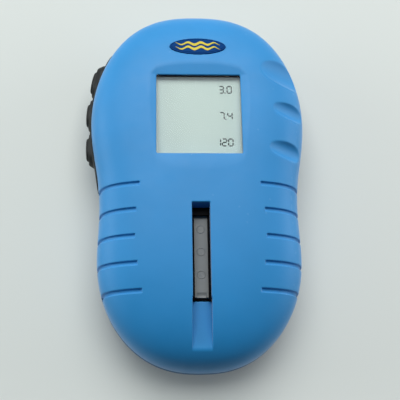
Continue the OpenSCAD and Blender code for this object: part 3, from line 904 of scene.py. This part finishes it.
def clear_material(name, tint, gloss):
    """Clear plastic: lets light straight through, with a faint reflection."""
    material, nodes, link = new_material(name)
    output = nodes.new("ShaderNodeOutputMaterial")
    through = nodes.new("ShaderNodeBsdfTransparent")
    through.inputs[0].default_value = (*tint, 1)
    shine = nodes.new("ShaderNodeBsdfGlossy")
    vector = place(nodes, link, 1 / MM)
    haze = noise(nodes, link, vector, 0.2, 4)
    link(spread(nodes, link, haze, 0.3, 0.7, 0.05, 0.12), shine.inputs["Roughness"])
    fresnel = nodes.new("ShaderNodeFresnel")
    fresnel.inputs["IOR"].default_value = 1.45
    share = spread(nodes, link, fresnel.outputs[0], 0, 1, 0, gloss)
    mix = nodes.new("ShaderNodeMixShader")
    link(share, mix.inputs[0])
    link(through.outputs[0], mix.inputs[1])
    link(shine.outputs[0], mix.inputs[2])
    link(mix.outputs[0], output.inputs[0])
    return material


BLUE = (0.020, 0.264, 0.62)
NAVY = (0.004, 0.048, 0.19)
MATERIALS = {
    "case_blue": surface("case_blue", BLUE, 0.5, 0.35, 0.006, 0.05, wear=0.25,
                         worn=(0.25, 0.50, 0.80), specular=0.42, mottle=0.02,
                         sheen=0.3),
    # The lower shell's blue is darker than the upper shell's: painted shade for the lower half,
    # which lies in shade below the seam; the door shares it.
    "case_deep_blue": surface("case_deep_blue", (0.015, 0.115, 0.29), 0.42, 0.3, 0.009, 0.05,
                              wear=0.25, worn=(0.2, 0.42, 0.7), specular=0.3, mottle=0.02),
    "seal_rubber": surface("seal_rubber", (0.012, 0.012, 0.014), 0.6, 0.3, 0.01),
    "key_rubber": surface("key_rubber", (0.006, 0.008, 0.008), 0.5, 0.22, 0.008, 0.08,
                          wear=0.35, worn=(0.05, 0.06, 0.06), specular=0.3),
    "clear": clear_material("clear", (0.97, 0.985, 0.98), 0.15),
    "badge_navy": surface("badge_navy", NAVY, 0.5, 0.6, 0.003, 0.05, specular=0.03),
    "badge_wave": surface("badge_wave", (0.66, 0.54, 0.04), 0.4, 0.4, 0.003, 0.05, specular=0.25),
    # The LCD's glow is painted light: it brightens the panel, which lies in the shade of its
    # recess.
    "lcd": surface("lcd", (0.555, 0.65, 0.605), 0.45, 0.5, 0.002, 0.04, specular=0.1, mottle=0.008,
                   glow=(0.07, 0.08, 0.085)),
    "lcd_ink": surface("lcd_ink", (0.012, 0.02, 0.024), 0.5, 0.3, 0.001, 0.03, specular=0.1),
    "black_plastic": surface("black_plastic", (0.0035, 0.004, 0.0055), 0.5, 0.3, 0.01, 0.08,
                             wear=0.2, worn=(0.02, 0.02, 0.02), specular=0.04),
    "tray_grey": surface("tray_grey", (0.205, 0.22, 0.215), 0.5, 0.25, 0.01, 0.08,
                         wear=0.25, worn=(0.4, 0.4, 0.38), mottle=0.05),
    "reflector": surface("reflector", (0.85, 0.85, 0.83), 0.25, 0.5, 0.004, metal=1.0),
    "elastomer": surface("elastomer", (0.75, 0.35, 0.4), 0.55, 0.2, 0.01),
    "board_green": surface("board_green", (0.012, 0.14, 0.06), 0.3, 0.8, 0.006, coat=0.3),
    "chip_black": surface("chip_black", (0.025, 0.025, 0.027), 0.55, 0.15, 0.01),
    "can_steel": surface("can_steel", (0.62, 0.62, 0.62), 0.3, 0.3, 0.004, metal=1.0),
    "capacitor_sleeve": surface("capacitor_sleeve", (0.03, 0.05, 0.25), 0.35, 0.6, 0.003),
    "led": surface("led", (0.85, 0.85, 0.7), 0.15, 0.5, 0.002, coat=0.5),
    "sensor": surface("sensor", (0.04, 0.04, 0.06), 0.15, 0.5, 0.002, coat=0.5),
    "ribbon": surface("ribbon", (0.6, 0.38, 0.08), 0.3, 0.7, 0.003),
    "connector": surface("connector", (0.8, 0.76, 0.62), 0.5, 0.3, 0.006),
    "plunger_red": surface("plunger_red", (0.5, 0.06, 0.04), 0.45, 0.3, 0.006),
    "cell_sleeve": surface("cell_sleeve", (0.42, 0.30, 0.07), 0.3, 0.8, 0.004, metal=0.6),
    "nickel": surface("nickel", (0.7, 0.69, 0.66), 0.25, 0.3, 0.004, metal=1.0),
    "wire_red": surface("wire_red", (0.4, 0.02, 0.015), 0.45, 0.4, 0.005),
    "screw_steel": surface("screw_steel", (0.5, 0.5, 0.51), 0.32, 0.25, 0.006, 0.08, metal=1.0),
}


def dress(piece, name, body=None, *nodes):
    """Gives a piece its material and the body it rides on, and hides the CAD nodes it stands for.
    """
    piece.data.materials.clear()
    piece.data.materials.append(MATERIALS[name])
    if body:
        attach(piece, body)
        name if name in RECORD_SLOTS else SLOT_OF[nodes[0]]
    if nodes and body:
        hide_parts(*nodes)
    return piece


SLOT_OF = {s["node"]: s["material_slot"] for s in frame["record"]["subparts"]}
RECORD_SLOTS = {m["slot"] for m in frame["record"]["materials"]}

# ---- moulded pieces ----

# Grid steps of the meshes
CASE_MESH = 0.36
RUBBER_MESH = 0.22
SMALL_MESH = 0.2
TRAY_MESH = 0.16
BADGE_MESH = 0.13
WAVE_MESH = 0.11

dress(moulded("upper_shell", upper_case_field, UPPER_LOW, UPPER_HIGH, CASE_MESH),
      "case_blue", "case", "upper_case")
dress(moulded("lower_shell", lower_case_field, LOWER_LOW, LOWER_HIGH, CASE_MESH),
      "case_deep_blue", "case", "lower_case")
dress(moulded("key_surround", keypad_field, PAD_LOW, PAD_HIGH, RUBBER_MESH),
      "key_rubber", "case", "keypad_surround")
for number, key in KEY_NAMES.items():
    node = key + "_button"
    dress(moulded(key + "_key_cap", cap_field(number), *box_mm(node), SMALL_MESH),
          "key_rubber", key + "_key", node)
dress(moulded("test_tray", tray_field, TRAY_LOW, TRAY_HIGH, TRAY_MESH),
      "tray_grey", "tray", "strip_tray")
dress(moulded("tray_channel", guide_field, GUIDE_LOW, GUIDE_HIGH, RUBBER_MESH),
      "black_plastic", "case", "tray_guide")
dress(moulded("cell_door", door_field, DOOR_LOW, DOOR_HIGH, SMALL_MESH),
      "case_deep_blue", "door", "battery_door")


# ---- the display ----

PANEL_TOP = box_mm("display_panel")[1][2]


def slab(name, outlines, z0, z1):
    """Flat pieces of one height: each outline is a closed list of (x, y)."""
    points, faces = [], []
    for outline in outlines:
        n, start = len(outline), len(points)
        points += [(x, y, z0) for x, y in outline] + [(x, y, z1) for x, y in outline]
        faces.append([start + i for i in reversed(range(n))])
        faces.append([start + n + i for i in range(n)])
        for i in range(n):
            j = (i + 1) % n
            faces.append([start + i, start + j, start + n + j, start + n + i])
    mesh = bpy.data.meshes.new(name)
    mesh.from_pydata([tuple(c * MM for c in p) for p in points], [], faces)
    mesh.validate()
    piece = bpy.data.objects.new(name, mesh)
    bpy.context.scene.collection.objects.link(piece)
    return piece


# Segments of a digit: a to g, from the top clockwise, then the middle bar
DIGIT_SEGMENTS = {"0": "abcdef", "1": "bc", "2": "abged", "3": "abgcd", "4": "fgbc",
                  "5": "afgcd", "6": "afgedc", "7": "abc", "8": "abcdefg", "9": "abcdfg"}
DIGIT_W = 1.75
DIGIT_H = 3.0
DIGIT_STEP = 2.5
STROKE = 0.48
# Free length at each end of a segment, and the size of the point and its place
SEGMENT_GAP = 0.1
POINT_HALF = 0.22
POINT_IN = 0.15
POINT_STEP = 0.75
# The ink stands just clear of the panel
INK_GAP = 0.002
INK_TOP = 0.04


def bar(x0, y0, x1, y1):
    """Bar with pointed ends between two points, as an outline."""
    length = math.hypot(x1 - x0, y1 - y0)
    ux, uy = (x1 - x0) / length, (y1 - y0) / length
    h, g = STROKE / 2, SEGMENT_GAP
    spots = ((g, 0), (h + g, -h), (length - h - g, -h), (length - g, 0),
             (length - h - g, h), (h + g, h))
    return [(x0 + a * ux - b * uy, y0 + a * uy + b * ux) for a, b in spots]


def digit(value, x, y):
    """Outlines of one seven-segment digit whose lower left corner is at (x, y)."""
    w, h, m = DIGIT_W, DIGIT_H, DIGIT_H / 2
    ends = {"a": (0, h, w, h), "b": (w, m, w, h), "c": (w, 0, w, m), "d": (0, 0, w, 0),
            "e": (0, 0, 0, m), "f": (0, m, 0, h), "g": (0, m, w, m)}
    return [bar(x + e[0], y + e[1], x + e[2], y + e[3])
            for e in (ends[s] for s in DIGIT_SEGMENTS[value])]


def reading(text, right, y):
    """Outlines of a number that ends at the place right."""
    outlines = []
    x = right
    for character in reversed(text):
        if character == ".":
            left, end = x - POINT_IN - POINT_HALF, x - POINT_IN + POINT_HALF
            low, high = y - 0.2, y + 0.24
            outlines.append([(left, low), (end, low), (end, high), (left, high)])
            x -= POINT_STEP
        else:
            outlines += digit(character, x - DIGIT_W, y)
            x -= DIGIT_STEP
    return outlines


ROWS = ((35.0, "3.0"), (23.2, "7.4"), (11.6, "120"))
READING_X = 13.6
# ROWS holds the height of each row on the display and its number
ink = []
for row_y, text in ROWS:
    ink += reading(text, READING_X, row_y - DIGIT_H / 2)
ink_piece = slab("display_readings", ink, PANEL_TOP + INK_GAP, PANEL_TOP + INK_TOP)
dress(ink_piece, "lcd_ink")
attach(ink_piece, "case")


# ---- the badge: a plain oval with a double wave ----

# Height of the badge's crowned face, and how much lower its rim is
CROWN_TOP = 0.34
CROWN_DROP = 0.22
# Groove inside the badge's rim
RIM_IN = 0.55
RIM_HALF = 0.22
RIM_DEPTH = 0.14
# The two waves: place off the middle, swing, length, thickness and reach
WAVE_OFF = 1.15
WAVE_SWING = 0.62
WAVE_LENGTH = 5.4
WAVE_THICK = 0.68
WAVE_THIN = 0.02
WAVE_TAPER = 9.7
WAVE_HALF = 9.3
WAVE_SHARE = 0.8
WAVE_OUT = 0.1


def badge_crown(x, y):
    """Height of the badge's face in its own frame."""
    return CROWN_TOP - CROWN_DROP * ((x / BADGE_WIDE) ** 2 + (y / BADGE_TALL) ** 2)


def badge_field(p):
    """Crowned oval plate with a groove inside its rim."""
    x, y, z = badge_frame(p)
    oval = oval_field(x, y, BADGE_WIDE, BADGE_TALL)
    crown = badge_crown(x, y)
    body = cut(oval, slab_field(z, -BADGE_DEPTH, crown), 0.15)
    ring = np.abs(oval + RIM_IN) - RIM_HALF
    return take(body, np.maximum(ring, crown - RIM_DEPTH - z), 0.08)


def wave_field(p):
    """Two raised waves that thin towards their ends."""
    x, y, z = badge_frame(p)
    crown = badge_crown(x, y)
    taper = WAVE_THICK * np.maximum(1 - (x / WAVE_TAPER) ** 2, WAVE_THIN)
    wave = WAVE_SWING * np.sin(x * 2 * math.pi / WAVE_LENGTH)
    line = np.minimum(np.abs(y - wave - WAVE_OFF), np.abs(y - wave + WAVE_OFF)) - taper
    line = np.maximum(line, np.abs(x) - WAVE_HALF) * WAVE_SHARE
    return cut(line, slab_field(z, crown - WAVE_OUT, crown + WAVE_OUT), 0.05)


BADGE_LOW, BADGE_HIGH = box_mm("badge")
dress(moulded("oval_badge", badge_field, BADGE_LOW, BADGE_HIGH, BADGE_MESH),
      "badge_navy", "case", "badge")
WAVE_MARGIN = (1.8, 1, 0)
wave_piece = moulded("badge_waves", wave_field, BADGE_LOW + WAVE_MARGIN,
                     BADGE_HIGH - WAVE_MARGIN, WAVE_MESH)
dress(wave_piece, "badge_wave")
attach(wave_piece, "case")

# ---- carried-over CAD nodes keep their mesh and get their material ----

for node_name, node_object in frame["nodes"].items():
    if not node_object.hide_render:
        dress(node_object, SLOT_OF[node_name])

# Bevel of the screws' sharp edges
SCREW_EDGE = 0.12
SCREW_EDGE_ANGLE = math.radians(40)
for node_name in ("case_screws", "board_screws"):
    edge = frame["nodes"][node_name].modifiers.new("edges", "BEVEL")
    edge.width = SCREW_EDGE * MM
    edge.segments = 2
    edge.angle_limit = SCREW_EDGE_ANGLE


# ---- stage ----

def stage_material():
    """Pale sheet under the object."""
    material, nodes, link = new_material("stage")
    shader = nodes.new("ShaderNodeBsdfPrincipled")
    output = nodes.new("ShaderNodeOutputMaterial")
    link(shader.outputs[0], output.inputs[0])
    shader.inputs["Base Color"].default_value = (0.60, 0.64, 0.612, 1)
    # A softly lit sheet: its own light keeps the shadows pale
    shader.inputs["Emission Color"].default_value = (0.06, 0.068, 0.07, 1)
    shader.inputs["Emission Strength"].default_value = 1.0
    shader.inputs["Roughness"].default_value = 0.7
    shader.inputs["Specular IOR Level"].default_value = 0.2
    return material


FLOOR_HALF = 3000
# The floor lies a hair under the object
FLOOR_TOP = -0.05
FLOOR_UNDER = -2.05
floor = slab("floor", [[(-FLOOR_HALF, -FLOOR_HALF), (FLOOR_HALF, -FLOOR_HALF),
                        (FLOOR_HALF, FLOOR_HALF), (-FLOOR_HALF, FLOOR_HALF)]],
             FLOOR_UNDER, FLOOR_TOP)
floor.data.materials.append(stage_material())


def area_light(name, at, target, size, power, colour):
    """Rectangular lamp at a place, turned towards a target; power is in watts."""
    light = bpy.data.lights.new(name, "AREA")
    light.shape = "RECTANGLE"
    light.size = size[0] * MM
    light.size_y = size[1] * MM
    light.energy = power
    light.color = colour
    lamp = bpy.data.objects.new(name, light)
    lamp.location = [c * MM for c in at]
    way = lamp.location.copy()
    way.x -= target[0] * MM
    way.y -= target[1] * MM
    way.z -= target[2] * MM
    lamp.rotation_euler = way.to_track_quat("Z", "Y").to_euler()
    bpy.context.scene.collection.objects.link(lamp)
    return lamp


def link_light(lamp, name, state):
    """Lets a lamp light only the floor, or everything but the floor."""
    group = bpy.data.collections.new(name)
    group.objects.link(floor)
    group.collection_objects[0].light_linking.link_state = state
    lamp.light_linking.receiver_collection = group


key_lamp = area_light("key", (-40, 450, 650), (0, 20, 20), (900, 440), 5.8, (1.0, 1.0, 1.0))
link_light(key_lamp, "not_by_key", "EXCLUDE")
floor_lamp = area_light("floor_light", (0, 430, 950), (0, 0, 0), (1000, 900), 10.2,
                        (1.0, 1.0, 1.0))
link_light(floor_lamp, "by_floor_light", "INCLUDE")
area_light("left", (-560, 120, 180), (0, 20, 15), (500, 240), 1.35, (0.97, 1.0, 1.0))
area_light("right", (560, 120, 180), (0, 20, 15), (500, 240), 1.25, (1.0, 0.98, 1.0))


def room_light(colour, dim, bright):
    """World that is bright above and behind the far end, and dim on the near side."""
    world = bpy.data.worlds.new("room")
    world.use_nodes = True
    nodes = world.node_tree.nodes
    link = world.node_tree.links.new
    coords = nodes.new("ShaderNodeTexCoord")
    split = nodes.new("ShaderNodeSeparateXYZ")
    link(coords.outputs["Generated"], split.inputs[0])
    strength = spread(nodes, link, split.outputs["Y"], -0.4, 0.6, dim, bright)
    background = nodes["Background"]
    background.inputs[0].default_value = (*colour, 1)
    link(strength, background.inputs[1])
    return world


world = room_light((0.95, 0.97, 1.0), 0.0, 0.36)
bpy.context.scene.world = world
bpy.context.scene.view_settings.view_transform = "Standard"

# ---- camera ----

CAMERA_AT = (-17.95, -123.0, 342.1)
VIEW_WAY = (0.0539, 0.3322, -0.9417)
VIEW_UP = (-0.0005, 0.9431, 0.3326)
# Focal length as a share of the picture's width
FOCAL_SHARE = 850 / 400
SENSOR = 36.0


def aim(camera_at, way, up):
    """Camera matrix from its place, its viewing direction and its upward side."""
    back = -Vector(way).normalized()
    right = Vector(up).cross(back).normalized()
    true_up = back.cross(right)
    turn = Matrix((right, true_up, back)).transposed().to_4x4()
    return Matrix.Translation(Vector(camera_at) * MM) @ turn


camera_data = bpy.data.cameras.new("camera")
camera_data.sensor_width = SENSOR
camera_data.lens = SENSOR * FOCAL_SHARE
camera_data.clip_start = 0.01
camera = bpy.data.objects.new("camera", camera_data)
bpy.context.scene.collection.objects.link(camera)
camera.matrix_world = aim(CAMERA_AT, VIEW_WAY, VIEW_UP)
bpy.context.scene.camera = camera
